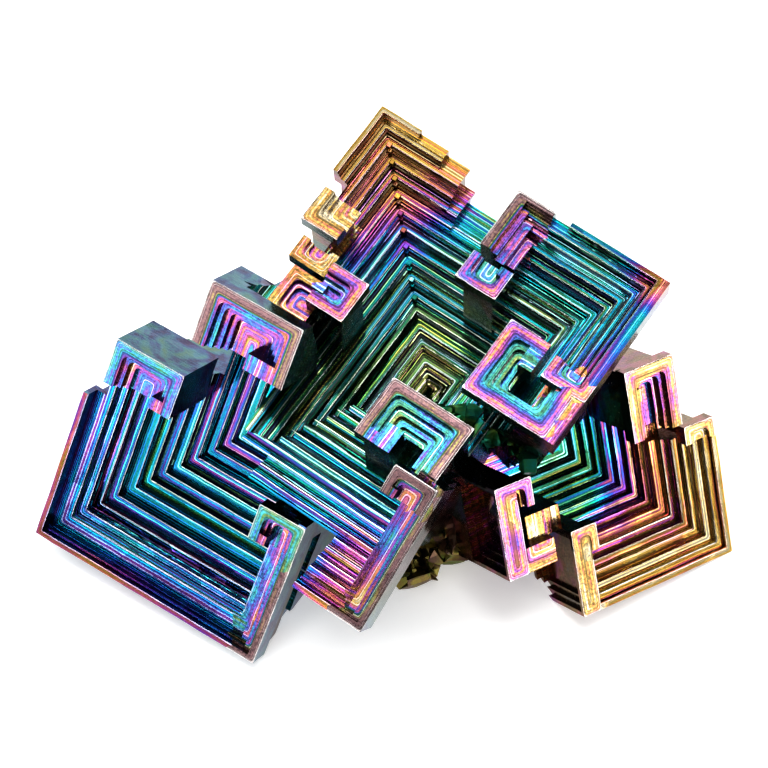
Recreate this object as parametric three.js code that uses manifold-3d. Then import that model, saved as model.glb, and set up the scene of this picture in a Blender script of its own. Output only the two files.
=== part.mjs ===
// Bismuth hopper crystal: four stepped grains and a rough root, grown together as one solid.
// Millimetres, +Z up. The origin is under the middle of the crystal, on the flat it rests on.

import * as THREE from "three";
import { mergeVertices } from "three/addons/utils/BufferGeometryUtils.js";
import Module from "manifold-3d";

const wasm = await Module();
wasm.setup();
const { Manifold, Mesh } = wasm;

// Where each grain's deepest corner lies, and how its own axes are turned (degrees, XYZ order).
// In a grain, x and y run along its terraces and z points out of its open face.
const MAIN = { at: [4.0, -0.3, 10.8], turn: [13.5, -1.5, -35.1] };
const FRONT = { at: [4.0, -1.5, 12.4], turn: [36.3, -16.5, -31.5] };
const LEFT = { at: [4.0, -0.3, 10.8], turn: [52.5, -25.0, -21.6] };
const RIGHT = { at: [16.8, -4.0, 5.8], turn: [49.9, 30.6, 11.6] };

// Heights of the open faces above the deepest corners.
const MAIN_FACE = 15;
const FRONT_FACE = 18.4;
const LEFT_FACE = 17;
const RIGHT_FACE = 8;

// How much the widths of the terraces vary, and a length past the end of every grain.
const UNEVEN = 0.3;
const FAR = 40;

// The odd cubes in the gap beside the main grain, and the rubble at the foot of the front one.
const SHARDS = { from: [3.4, -3.3, 7.6], to: [11.8, -2.5, 7], spread: 1.3, least: 0.7, most: 1.7, count: 11, seed: 5 };
const RUBBLE = { from: [1.8, -12.6, 2], to: [7.6, -10.4, 4.6], spread: 1.6, least: 1.5, most: 2.8, count: 10, seed: 9 };

// Moves the crystal so that the middle of its box stands over the origin.
const CENTRE = [-0.14, 5.6];

// A repeatable scatter of numbers from 0 to 1.
function scatter(seed) {
  let state = seed;
  return () => {
    state = (state * 16807) % 2147483647;
    return state / 2147483647;
  };
}

function solidOf(geometry) {
  geometry.deleteAttribute("normal");
  geometry.deleteAttribute("uv");
  const merged = mergeVertices(geometry, 1e-5);
  return new Manifold(
    new Mesh({
      numProp: 3,
      vertProperties: merged.attributes.position.array,
      triVerts: new Uint32Array(merged.index.array),
    }),
  );
}

function geometryOf(solid) {
  const mesh = solid.getMesh();
  return new THREE.BufferGeometry()
    .setAttribute("position", new THREE.BufferAttribute(mesh.vertProperties, 3))
    .setIndex(new THREE.BufferAttribute(mesh.triVerts, 1));
}

// A block between two corners.
function block([x0, x1], [y0, y1], [z0, z1]) {
  const box = new THREE.BoxGeometry(x1 - x0, y1 - y0, z1 - z0);
  box.translate((x0 + x1) / 2, (y0 + y1) / 2, (z0 + z1) / 2);
  return solidOf(box);
}

// A block whose upright edges are rounded.
function roundBlock([x0, x1], [y0, y1], [z0, z1], radius) {
  const r = Math.min(radius, (x1 - x0) / 2.1, (y1 - y0) / 2.1);
  const outline = new THREE.Shape();
  outline.absarc(x1 - r, y1 - r, r, 0, Math.PI / 2);
  outline.absarc(x0 + r, y1 - r, r, Math.PI / 2, Math.PI);
  outline.absarc(x0 + r, y0 + r, r, Math.PI, 1.5 * Math.PI);
  outline.absarc(x1 - r, y0 + r, r, 1.5 * Math.PI, 2 * Math.PI);
  const slab = new THREE.ExtrudeGeometry(outline, {
    depth: z1 - z0,
    bevelEnabled: false,
    curveSegments: 2,
  });
  slab.translate(0, 0, z0);
  return solidOf(slab);
}

const joined = (solids) => Manifold.union(solids);

// The outside of a grain: slabs that step in as they go down from the open face.
function ledges({ x, y, top, drop, step, count, sides = [1, 1, 1, 1] }) {
  const slabs = [];
  for (let i = 0; i < count; i += 1) {
    const inset = step * i;
    slabs.push(
      block(
        [x[0] + sides[0] * inset, x[1] - sides[1] * inset],
        [y[0] + sides[2] * inset, y[1] - sides[3] * inset],
        [top - drop * (i + 1), top],
      ),
    );
  }
  return joined(slabs);
}

// A block that is upright down to zMid and then tapers in on each side to its floor.
function funnel([x0, x1], [y0, y1], [z0, zMid, z1], taper) {
  const box = new THREE.BoxGeometry(x1 - x0, y1 - y0, 2, 1, 1, 2);
  box.translate((x0 + x1) / 2, (y0 + y1) / 2, 0);
  const corners = box.attributes.position;
  for (let i = 0; i < corners.count; i += 1) {
    const z = corners.getZ(i);
    if (z > 0.5) corners.setZ(i, z1);
    else if (z > -0.5) corners.setZ(i, zMid);
    else {
      const x = corners.getX(i) < (x0 + x1) / 2 ? x0 + taper.left : x1 - taper.right;
      const y = corners.getY(i) < (y0 + y1) / 2 ? y0 + taper.bottom : y1 - taper.top;
      corners.setXYZ(i, x, y, z0);
    }
  }
  return solidOf(box);
}

// The hollow of a grain: funnels that step in and down. Each side has its own width of
// terrace, a side with none is left open, and flat is the share of it that is level tread.
function hollow({ left, right, bottom, top, face, rise, count, flat, seed }) {
  const random = scatter(seed);
  const sides = { left, right, bottom, top };
  const slope = {};
  const funnels = [];
  let inset = 0;
  let depth = 0;
  for (let i = 0; i < count; i += 1) {
    const width = 1 + UNEVEN * (random() - 0.5);
    const height = rise * (1 + UNEVEN * (random() - 0.5));
    const x = [left.edge + left.tread * inset, right.edge - right.tread * inset];
    const y = [bottom.edge + bottom.tread * inset, top.edge - top.tread * inset];
    for (const [name, side] of Object.entries(sides)) slope[name] = side.tread * width * (1 - flat);
    if (x[1] - x[0] < 1.5 || y[1] - y[0] < 1.5) break;
    funnels.push(funnel(x, y, [face - depth - height, face - depth, face + 5], slope));
    depth += height;
    inset += width;
  }
  return joined(funnels);
}

const OPEN_LOW = { edge: -FAR, tread: 0 };
const OPEN_HIGH = { edge: FAR, tread: 0 };

// A hooked corner block: a lip on a narrower neck, with a stepped basin that is open
// on some sides, and a tongue that curls into it.
function hook({ x, y, z, lip = 1.3, neck, pinch = 0.5, band, steps, tread, rise, open = [], tongue, well }) {
  const body = [
    block(x, y, [z - lip, z]),
    block([x[0] + pinch, x[1] - pinch], [y[0] + pinch, y[1] - pinch], [neck, z - 0.1]),
  ];
  const gap = (side, i) => (open.includes(side) ? -3 : band + tread * i);
  const basin = [];
  for (let i = 0; i < steps; i += 1) {
    basin.push(
      roundBlock(
        [x[0] + gap("left", i), x[1] - gap("right", i)],
        [y[0] + gap("bottom", i), y[1] - gap("top", i)],
        [z - rise * (i + 1), z + 3],
        0.7 - 0.12 * i,
      ),
    );
  }
  if (well) basin.push(block(well.x, well.y, [z - well.depth, z + 3]));
  const cut = joined(body).subtract(joined(basin));
  if (!tongue) return cut;
  return cut.add(block(tongue.x, tongue.y, [z - lip - 1.5, z]));
}

// Moves a solid from its grain's own axes to the crystal's place.
function placed(solid, { at, turn }) {
  const euler = new THREE.Euler(...turn.map(THREE.MathUtils.degToRad), "XYZ");
  const frame = new THREE.Matrix4().makeRotationFromEuler(euler).setPosition(...at);
  return solidOf(geometryOf(solid).applyMatrix4(frame));
}

// A square recess in the left side of a block, stepped like every face that grew hollow.
function sideRecess(x, [y0, y1], [z0, z1], { steps, tread, depth }) {
  const pits = [];
  for (let i = 0; i < steps; i += 1) {
    const inset = 0.35 + tread * i;
    pits.push(block([x - 1, x + depth * (i + 1)], [y0 + inset, y1 - inset], [z0 + inset, z1 - inset]));
  }
  return joined(pits);
}

// The main grain: a wide square hollow with the tall wing, the box and the hooks on its rim.
function mainGrain() {
  const face = MAIN_FACE;
  const body = joined([
    ledges({ x: [-14.4, 14.4], y: [-3.2, 14], top: face, drop: 2.1, step: 0.7, count: 9,
      sides: [1, 1, 0.3, 1] }),
    ledges({ x: [-8.8, 1], y: [-14.4, -2], top: 8.6, drop: 4, step: 1, count: 3, sides: [1, 0, 0, 0] }),
  ]);
  const pit = hollow({
    left: { edge: -13.95, tread: 0.82 },
    right: { edge: 13.4, tread: 0.76 },
    bottom: OPEN_LOW,
    top: { edge: 13.55, tread: 0.8 },
    face,
    rise: 0.88,
    count: 17,
    flat: 0.4,
    seed: 7,
  });
  const breaks = joined([
    block([-10.3, -0.5], [13.2, FAR], [14.2, FAR]),
    block([-7.6, -0.5], [12.2, FAR], [13.2, FAR]),
    block([-5.4, -0.5], [10, FAR], [11.2, FAR]),
    block([-4.4, -0.5], [9, FAR], [10, FAR]),
    block([3.2, 4.8], [12.6, FAR], [13.9, FAR]),
    block([-FAR, -13], [-FAR, 6.8], [2, FAR]),
    block([-FAR, -11.5], [-FAR, 5.5], [2, FAR]),
    block([-FAR, -8.8], [-FAR, -0.5], [8.4, FAR]),
  ]);
  const boxWall = [
    block([-0.45, 0.6], [8.2, 13.6], [6, face]),
    block([0.5, 1.2], [8.2, 13], [6, face - 0.5]),
    block([1.1, 2], [8, 12.4], [6, face - 1.1]),
    block([1.9, 2.8], [8.4, 11.4], [6, face - 1.8]),
  ];
  const boxHook = hook({ x: [-0.5, 3.4], y: [4.6, 7.4], z: face, neck: 6, band: 0.7, steps: 2,
    tread: 0.3, rise: 0.5, open: ["top"], tongue: { x: [2.2, 3.4], y: [6.6, 7.4] } });
  const endHook = hook({ x: [10.2, 14.4], y: [1.2, 3.4], z: face, neck: 8, band: 0.75, steps: 3,
    tread: 0.3, rise: 0.4, open: ["top"] });
  const spiral = hook({ x: [5.5, 13.4], y: [-3.2, 4], z: face, neck: 2, pinch: 1.3, band: 1.1, steps: 4,
    tread: 0.5, rise: 0.55, tongue: { x: [8.1, 9.4], y: [1, 3.9] },
    well: { x: [8.4, 11.4], y: [-0.9, 4.4], depth: 5 } }).subtract(
      joined([block([9.4, 11.4], [0, 5], [11.5, FAR]), block([11.3, 14], [1.4, 5], [face - 4, FAR])]));
  const wingHook = hook({ x: [-14, -10.4], y: [1.7, 5.2], z: face, neck: 4, band: 1, steps: 2,
    tread: 0.35, rise: 0.5, open: ["top", "right"] }).add(
      block([-14, -10.4], [1.7, 2.9], [face - 1.3, face]));
  const secondHook = hook({ x: [-13.2, -9.6], y: [-1.3, 0.9], z: face - 1, neck: 4, band: 0.7, steps: 2,
    tread: 0.3, rise: 0.5, open: ["top"] });
  const thirdHook = hook({ x: [-9.4, -5.8], y: [-4.1, -0.1], z: face, neck: 4, band: 0.9, steps: 3,
    tread: 0.35, rise: 0.5, open: ["left"], tongue: { x: [-9.4, -8], y: [-4.1, -3] } });
  const fourthHook = hook({ x: [-12.2, -8.8], y: [-6.4, -1.8], z: face - 0.8, neck: 6, band: 0.8, steps: 2,
    tread: 0.4, rise: 0.5, open: ["right"] });
  const hooks = [boxHook, endHook, spiral, wingHook, secondHook, thirdHook, fourthHook];
  return { solid: body.subtract(joined([pit, breaks])).add(joined([...boxWall, ...hooks])), pit };
}

// The centre hook stands over the hollow, on the head of the front grain's right wall.
function centreHook() {
  return hook({ x: [0.5, 8.4], y: [-11.2, -5.6], z: MAIN_FACE, neck: 3, band: 0.95, steps: 4, tread: 0.55,
    rise: 0.5, open: ["bottom"], tongue: { x: [2.4, 3.9], y: [-11.2, -9] },
    well: { x: [3.9, 5.8], y: [-12, -8.8], depth: 6 } }).add(
      block([0.5, 3.9], [-11.2, -10.2], [MAIN_FACE - 1.3, MAIN_FACE]));
}

// The front grain: a lower wall of long terraces, closed by an upright plate on the right.
function frontGrain() {
  const low = -16.5;
  const face = FRONT_FACE;
  const body = joined([
    ledges({ x: [2.6, 9.3], y: [low, -3.2], top: face, drop: 3, step: 0.8, count: 7, sides: [0, 0.8, 1, 0] }),
    ledges({ x: [-9.2, 7.6], y: [-10.2, 1], top: 11.3, drop: 3.5, step: 0.6, count: 3, sides: [1, 0, 1, 0] }),
    ledges({ x: [-6.4, 7.6], y: [-12.2, 1], top: 13.6, drop: 3.2, step: 0.8, count: 4, sides: [1, 0, 1, 0] }),
  ]);
  const pit = hollow({
    left: OPEN_LOW,
    right: { edge: 6.6, tread: 0.1 },
    bottom: { edge: low + 0.5, tread: 0.77 },
    top: OPEN_HIGH,
    face,
    rise: 0.88,
    count: 20,
    flat: 0.55,
    seed: 11,
  });
  const plate = [];
  for (let i = 0; i < 3; i += 1) {
    plate.push(block([-FAR, 8.7 - 0.75 * i], [low + 0.5 + 0.2 * i, FAR], [face - 0.5 * (i + 1), FAR]));
  }
  const cap = hook({ x: [4.75, 8.8], y: [-6, -3.5], z: face, neck: 8, band: 0.7, steps: 2, tread: 0.35,
    rise: 0.5, open: ["bottom"], tongue: { x: [4.75, 6], y: [-6, -5.2] } });
  return { solid: body.subtract(joined([pit, ...plate])).add(cap), pit };
}

// The left grain: a broad hollow whose rim is the lowest edge of the crystal on that side.
function leftGrain() {
  const low = -22.6;
  const face = LEFT_FACE;
  const body = joined([
    ledges({ x: [-23.4, -0.5], y: [low, -4], top: face, drop: 2.1, step: 0.7, count: 8,
      sides: [1, 0.6, 1, 0] }),
    ledges({ x: [-14.9, -1], y: [-20, 1], top: 11, drop: 3.5, step: 1.1, count: 3, sides: [1, 0, 0, 0] }),
  ]);
  const pit = hollow({
    left: { edge: -22.9, tread: 0.87 },
    right: { edge: -3.4, tread: 0.05 },
    bottom: { edge: low + 0.5, tread: 1.01 },
    top: OPEN_HIGH,
    face,
    rise: 0.8,
    count: 20,
    flat: 0.75,
    seed: 23,
  });
  const plate = [];
  for (let i = 0; i < 3; i += 1) {
    plate.push(block([-22.9, -1.2 - 0.7 * i], [low + 0.5 + 0.2 * i, FAR], [face - 0.5 * (i + 1), FAR]));
  }
  const breaks = joined([
    block([-6, FAR], [-8.5, FAR], [6, FAR]),
    block([-FAR, -21.9], [-7.9, FAR], [-FAR, FAR]),
    block([-FAR, -20.2], [-6.1, FAR], [-FAR, FAR]),
  ]);
  const hooks = [
    hook({ x: [-22, -15.2], y: [-6.1, -1.8], z: face, lip: 6, neck: 10, band: 1, steps: 3, tread: 0.5, rise: 0.5,
      open: ["bottom"], tongue: { x: [-17.4, -15.3], y: [-6.1, -5] } }),
    hook({ x: [-15.7, -6.8], y: [1.5, 7.3], z: face, lip: 5, neck: 6, pinch: 1.9, band: 1.2, steps: 4, tread: 0.5,
      rise: 0.5, open: ["bottom"], tongue: { x: [-10.6, -6.9], y: [1.5, 3] } }),
    hook({ x: [-5, -0.5], y: [-12.1, -8.7], z: face, neck: 8, band: 0.8, steps: 3, tread: 0.35, rise: 0.5,
      open: ["bottom"], tongue: { x: [-5, -3.4], y: [-12.1, -11.2] } }),
  ];
  return { solid: body.subtract(joined([pit, breaks, ...plate])).add(joined(hooks)), pit };
}

// The right grain: a smaller hollow with a tall hook at its head and side hooks on its left.
function rightGrain() {
  const low = -10.6;
  const face = RIGHT_FACE;
  const body = joined([
    ledges({ x: [-6.6, 9.5], y: [low, 0.7], top: face, drop: 1.7, step: 0.6, count: 7,
      sides: [1, 1, 1, 0] }),
    ledges({ x: [-12, 6.3], y: [-5.5, 6], top: 4, drop: 3, step: 0.8, count: 3, sides: [0, 1, 0, 0] }),
  ]);
  const outer = hollow({
    left: { edge: -4.8, tread: 0 },
    right: { edge: 9, tread: 0.71 },
    bottom: { edge: low + 0.5, tread: 0.76 },
    top: OPEN_HIGH,
    face,
    rise: 0.6,
    count: 6,
    flat: 0.65,
    seed: 31,
  });
  const inner = hollow({
    left: OPEN_LOW,
    right: { edge: 9 - 0.71 * 6, tread: 0.71 },
    bottom: { edge: low + 0.5 + 0.76 * 6, tread: 0.76 },
    top: OPEN_HIGH,
    face: face - 0.6 * 6,
    rise: 0.6,
    count: 8,
    flat: 0.65,
    seed: 37,
  });
  const pit = outer.add(inner);
  const legs = [
    block([-6.6, -4.8], [low, -2.7], [0.8, face]),
    block([-13.2, -11.2], [-4.6, 3.6], [0, face]),
    block([-11.3, -6.2], [-5.2, -3], [1, 6.8]),
    block([-9.6, -6.2], [-3.1, -0.6], [1, 6]),
  ];
  const hooks = [
    hook({ x: [1.1, 6.2], y: [2.8, 9.3], z: face, neck: 0, band: 1, steps: 3, tread: 0.45, rise: 0.5,
      open: ["bottom"], tongue: { x: [1.1, 2.5], y: [6.3, 7.4] } }),
    hook({ x: [6.3, 9.4], y: [0.7, 2.4], z: face, neck: 0, band: 0.6, steps: 1, tread: 0.3, rise: 0.4,
      open: ["bottom"] }),
    hook({ x: [-6.6, -4], y: [-5, -2.6], z: face, neck: 0, band: 0.7, steps: 2, tread: 0.3, rise: 0.5,
      open: ["bottom"] }),
    hook({ x: [-13.2, -9.6], y: [1.2, 3.8], z: face, neck: 0, band: 0.7, steps: 2, tread: 0.35, rise: 0.5,
      open: ["bottom"] }),
  ];
  const recesses = [
    sideRecess(-6.6, [low, -2.6], [0.8, face], { steps: 3, tread: 0.5, depth: 0.35 }),
    sideRecess(-13.2, [-4.6, 3.8], [2, face], { steps: 3, tread: 0.5, depth: 0.5 }),
  ];
  return { solid: body.subtract(pit).add(joined([...legs, ...hooks])).subtract(joined(recesses)), pit };
}

// Small cubes that grew at odd angles, strewn along a line.
function strewn({ from, to, spread, least, most, count, seed }) {
  const random = scatter(seed);
  const start = new THREE.Vector3(...from);
  const end = new THREE.Vector3(...to);
  const cubes = [];
  for (let i = 0; i < count; i += 1) {
    const size = least + (most - least) * random();
    const cube = new THREE.BoxGeometry(size, size * 0.5, size * 1.6);
    cube.rotateX(random() * Math.PI);
    cube.rotateZ(random() * Math.PI);
    const at = start.clone().lerp(end, i / (count - 1));
    cube.translate(at.x, at.y + spread * (random() - 0.5), at.z + spread * (random() - 0.5));
    cubes.push(solidOf(cube));
  }
  return joined(cubes);
}

// The rough root that the grains grew from.
function root() {
  const lumps = [
    [[2, 2, 5], [13, 10, 7]],
    [[-8, -2, 4], [9, 8, 6]],
    [[14, 0, 4], [9, 8, 6]],
    [[5, -8, 4], [7, 5, 5]],
  ];
  return joined(
    lumps.map(([at, size]) => {
      const lump = new THREE.IcosahedronGeometry(1, 1);
      lump.scale(...size);
      lump.translate(...at);
      return solidOf(lump);
    }),
  );
}

function crystal() {
  const grains = [
    [mainGrain(), MAIN],
    [frontGrain(), FRONT],
    [leftGrain(), LEFT],
    [rightGrain(), RIGHT],
  ];
  const [main, ...others] = grains.map(([{ solid }, place]) => placed(solid, place));
  const pits = grains.map(([{ pit }, place]) => placed(pit, place));
  // The main grain ends under the front one, and no other grain fills its upper hollow.
  const underFront = placed(block([-FAR, FAR], [-FAR, -9.2], [-FAR, FAR]), FRONT);
  const upperHollow = placed(grains[0][0].pit.intersect(block([-FAR, FAR], [-6, FAR], [-FAR, FAR])), MAIN);
  const whole = joined([
    main.subtract(underFront),
    joined(others).subtract(upperHollow),
    placed(centreHook(), MAIN),
    placed(strewn(SHARDS), MAIN),
    strewn(RUBBLE),
    root().subtract(joined(pits)),
  ]);
  const cut = whole.subtract(block([-FAR * 2, FAR * 2], [-FAR * 2, FAR * 2], [-FAR, 0]));
  return cut.decompose().sort((a, b) => b.volume() - a.volume())[0];
}

const group = new THREE.Group();
const material = new THREE.MeshStandardMaterial({ color: 0x5a86b8, metalness: 0.95, roughness: 0.25 });
const mesh = new THREE.Mesh(geometryOf(crystal()).translate(...CENTRE, 0), material);
mesh.name = "bismuth_crystal";
group.add(mesh);

export default group;
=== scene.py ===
"""Dresses a bismuth hopper crystal: its finished surface, its oxide colours, and a plain studio."""

import logging
import math
from dataclasses import dataclass
from enum import Enum

import bpy
from mathutils import Matrix, Vector, noise


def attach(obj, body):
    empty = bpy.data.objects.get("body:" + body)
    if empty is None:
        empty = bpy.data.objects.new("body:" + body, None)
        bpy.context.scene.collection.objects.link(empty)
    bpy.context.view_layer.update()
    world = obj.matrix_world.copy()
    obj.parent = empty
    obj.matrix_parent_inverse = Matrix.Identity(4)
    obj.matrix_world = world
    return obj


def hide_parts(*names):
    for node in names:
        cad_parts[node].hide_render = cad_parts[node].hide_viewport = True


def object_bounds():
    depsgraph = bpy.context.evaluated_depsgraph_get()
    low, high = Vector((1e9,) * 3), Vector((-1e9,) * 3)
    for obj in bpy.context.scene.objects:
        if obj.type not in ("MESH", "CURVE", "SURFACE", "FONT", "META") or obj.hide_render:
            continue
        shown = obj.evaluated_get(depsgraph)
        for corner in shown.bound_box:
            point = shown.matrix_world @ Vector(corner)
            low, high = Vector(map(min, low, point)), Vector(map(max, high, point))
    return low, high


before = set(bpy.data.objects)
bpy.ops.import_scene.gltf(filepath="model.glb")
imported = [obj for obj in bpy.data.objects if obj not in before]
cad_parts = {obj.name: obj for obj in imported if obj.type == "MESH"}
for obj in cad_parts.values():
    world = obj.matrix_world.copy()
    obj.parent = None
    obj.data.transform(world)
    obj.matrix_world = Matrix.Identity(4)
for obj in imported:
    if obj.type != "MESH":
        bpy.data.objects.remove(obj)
CAD_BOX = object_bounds()

logging.basicConfig(level=logging.INFO, format="%(message)s")
log = logging.getLogger("bismuth")

MM = 0.001
CENTRE = Vector((-0.14, 5.6, 0.0))


class Grain(Enum):
    """The grains of the crystal, and its rough root."""

    ROOT = 0
    MAIN = 1
    FRONT = 2
    LEFT = 3
    RIGHT = 4


class Face(Enum):
    """What a face of a grain is: a level tread, a sloped riser, an upright wall, or rough."""

    TREAD = 0
    RISER = 1
    WALL = 2
    ROUGH = 3


@dataclass(frozen=True)
class GrainFrame:
    """A grain's own axes: x and y run along its terraces and z points out of its open face."""

    at: tuple[float, float, float]
    turn: tuple[float, float, float]
    face: float

    def axes(self) -> Matrix:
        """Returns the rotation from the grain's axes to the crystal's, turned about z, y and x in that order."""
        x, y, z = (math.radians(angle) for angle in self.turn)
        return Matrix.Rotation(x, 3, "X") @ Matrix.Rotation(y, 3, "Y") @ Matrix.Rotation(z, 3, "Z")

    def origin(self) -> Vector:
        """Returns the grain's deepest corner, in millimetres."""
        return Vector(self.at) + CENTRE


FRAMES = {
    Grain.MAIN: GrainFrame((4.0, -0.3, 10.8), (13.5, -1.5, -35.1), 15.0),
    Grain.FRONT: GrainFrame((4.0, -1.5, 12.4), (36.3, -16.5, -31.5), 18.4),
    Grain.LEFT: GrainFrame((4.0, -0.3, 10.8), (52.5, -25.0, -21.6), 17.0),
    Grain.RIGHT: GrainFrame((16.8, -4.0, 5.8), (49.9, 30.6, 11.6), 8.0),
}
AXES = {grain: frame_of.axes() for grain, frame_of in FRAMES.items()}


@dataclass(frozen=True)
class Level:
    """One level of a hollow: how far in it starts, and the heights of its riser's head and foot."""

    inset: float
    head: float
    foot: float


# How unevenly the treads and risers are scattered, and the multiplier and span of that scatter.
UNEVEN = 0.3
SCATTER_STEP = 16807
SCATTER_SPAN = 2147483647

# Stands for a side that is open, so far off that no line follows it.
FAR = 99.0


@dataclass(frozen=True)
class Hollow:
    """A grain's stepped hollow, as its solid has it: sides with an edge and the width of its treads.

    Attributes:
        grain: the grain it is in.
        sides: the edge and the tread of the left, right, bottom and top side, with no tread where it is open.
        top: the height of its rim.
        rise: the usual height of a riser.
        count: how many levels it has.
        seed: the start of the scatter that varies the levels.
        first: how many treads in it starts.
    """

    grain: Grain
    sides: tuple[tuple[float, float], ...]
    top: float
    rise: float
    count: int
    seed: int
    first: float = 0.0

    def levels(self) -> list[Level]:
        """Returns the levels from the rim down."""
        state = self.seed
        depth = 0.0
        inset = self.first
        found = []
        for _ in range(self.count):
            state = (state * SCATTER_STEP) % SCATTER_SPAN
            width = 1 + UNEVEN * (state / SCATTER_SPAN - 0.5)
            state = (state * SCATTER_STEP) % SCATTER_SPAN
            height = self.rise * (1 + UNEVEN * (state / SCATTER_SPAN - 0.5))
            found.append(Level(inset, self.top - depth, self.top - depth - height))
            depth += height
            inset += width
        return found

    def gaps(self, own: Vector) -> tuple[float, float, float, float]:
        """Gives how many treads in from each side a place lies.

        Args:
            own: the place in the grain's own axes, in millimetres.

        Returns:
            The treads in from the left, right, bottom and top side.
        """
        offsets = (own.x, -own.x, own.y, -own.y)
        signs = (-1, 1, -1, 1)
        return tuple(
            (offset + sign * edge) / tread if tread > 0.2 else FAR
            for offset, sign, (edge, tread) in zip(offsets, signs, self.sides)
        )


# A side of a hollow with no treads.
OPEN = (0.0, 0.0)

HOLLOWS = (
    Hollow(Grain.MAIN, ((-13.95, 0.82), (13.4, 0.76), OPEN, (13.55, 0.8)), 15.0, 0.88, 17, 7),
    Hollow(Grain.FRONT, (OPEN, (6.6, 0.1), (-16.0, 0.77), OPEN), 18.4, 0.88, 20, 11),
    Hollow(Grain.LEFT, ((-22.9, 0.87), (-3.4, 0.05), (-22.1, 1.01), OPEN), 17.0, 0.8, 20, 23),
    Hollow(Grain.RIGHT, (OPEN, (9.0, 0.71), (-10.1, 0.76), OPEN), 8.0, 0.6, 6, 31),
    Hollow(Grain.RIGHT, (OPEN, (9.0, 0.71), (-10.1, 0.76), OPEN), 4.4, 0.6, 8, 37, 6.0),
)

# How far the risers of each grain lean back over the usual rise.
USUAL_RISE = 0.88
SLOPES = {Grain.MAIN: 0.48, Grain.FRONT: 0.35, Grain.LEFT: 0.24, Grain.RIGHT: 0.26}


@dataclass(frozen=True)
class Outline:
    """The outline of a hooked block on a grain's open face.

    Attributes:
        grain: the grain it stands on.
        x: where it starts and ends along the grain's x axis.
        y: where it starts and ends along the grain's y axis.
        open_sides: the sides, of l, r, b and t, that its bands run out of.
        rim: the film on its outer band.
        inner: the film on the bands inside.
    """

    grain: Grain
    x: tuple[float, float]
    y: tuple[float, float]
    open_sides: str = ""
    rim: float = 0.95
    inner: float = 0.5

    def gaps(self, own: Vector) -> tuple[float, float, float, float]:
        """Gives how far in from each closed side a place lies, in millimetres."""
        spans = {
            "l": own.x - self.x[0],
            "r": self.x[1] - own.x,
            "b": own.y - self.y[0],
            "t": self.y[1] - own.y,
        }
        return tuple(FAR if side in self.open_sides else gap for side, gap in spans.items())

    def holds(self, own: Vector) -> bool:
        """Tells whether a place lies on the block."""
        inside = self.x[0] - 0.1 < own.x < self.x[1] + 0.1
        return inside and self.y[0] - 0.1 < own.y < self.y[1] + 0.1

    def borders(self, own: Vector) -> bool:
        """Tells whether a place lies at the edge of the block, as its outside walls do."""
        nearest = min(own.x - self.x[0], self.x[1] - own.x, own.y - self.y[0], self.y[1] - own.y)
        return nearest < 0.12


OUTLINES = (
    Outline(Grain.MAIN, (-0.5, 3.4), (4.6, 7.4), "t", 0.32, 0.55),
    Outline(Grain.MAIN, (10.2, 14.4), (1.2, 3.4), "t", 0.24, 0.50),
    Outline(Grain.MAIN, (5.5, 13.4), (-3.2, 4.0), "", 0.25, 0.56),
    Outline(Grain.MAIN, (-14.0, -10.4), (1.7, 5.2), "tr", 0.08, 0.11),
    Outline(Grain.MAIN, (-13.2, -9.6), (-1.3, 0.9), "t", 0.14, 0.18),
    Outline(Grain.MAIN, (-9.4, -5.8), (-4.1, -0.1), "l", 0.22, 0.42),
    Outline(Grain.MAIN, (-12.2, -8.8), (-6.4, -1.8), "r", 0.15, 0.26),
    Outline(Grain.MAIN, (0.5, 8.4), (-11.2, -5.6), "b", 0.97, 0.58),
    Outline(Grain.FRONT, (4.75, 8.8), (-6.0, -3.5), "b", 0.98, 0.36),
    Outline(Grain.LEFT, (-22.0, -15.2), (-6.1, -1.8), "b", 0.49, 0.42),
    Outline(Grain.LEFT, (-15.7, -6.8), (1.5, 7.3), "b", 0.99, 0.38),
    Outline(Grain.LEFT, (-5.0, -0.5), (-12.1, -8.7), "b", 0.60, 0.44),
    Outline(Grain.RIGHT, (1.1, 6.2), (2.8, 9.3), "b", 0.14, 0.24),
    Outline(Grain.RIGHT, (6.3, 9.4), (0.7, 2.4), "b", 0.08, 0.12),
    Outline(Grain.RIGHT, (-6.6, -4.0), (-5.0, -2.6), "b", 0.09, 0.12),
    Outline(Grain.RIGHT, (-13.2, -9.6), (1.2, 3.8), "b", 0.25, 0.20),
    Outline(Grain.MAIN, (-0.45, 3.0), (8.0, 13.9), "rb", 0.98, 0.38),
    Outline(Grain.MAIN, (13.3, 15.2), (-3.6, 1.4), "ltb", 0.28, 0.34),
    Outline(Grain.FRONT, (6.4, 9.3), (-16.5, -3.2), "lt", 0.98, 0.36),
    Outline(Grain.LEFT, (-3.6, -0.5), (-22.6, -8.7), "lt", 0.98, 0.46),
    Outline(Grain.RIGHT, (-6.6, -4.8), (-10.6, -2.6), "t", 0.08, 0.10),
    Outline(Grain.RIGHT, (-13.2, -11.2), (-4.6, 3.6), "t", 0.26, 0.24),
    Outline(Grain.RIGHT, (-11.3, -6.2), (-5.2, -0.6), "t", 0.14, 0.20),
)


@dataclass(frozen=True)
class Stain:
    """A patch of a grain where the oxide film tends to one thickness."""

    at: tuple[float, float, float]
    reach: float
    film: float


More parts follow.
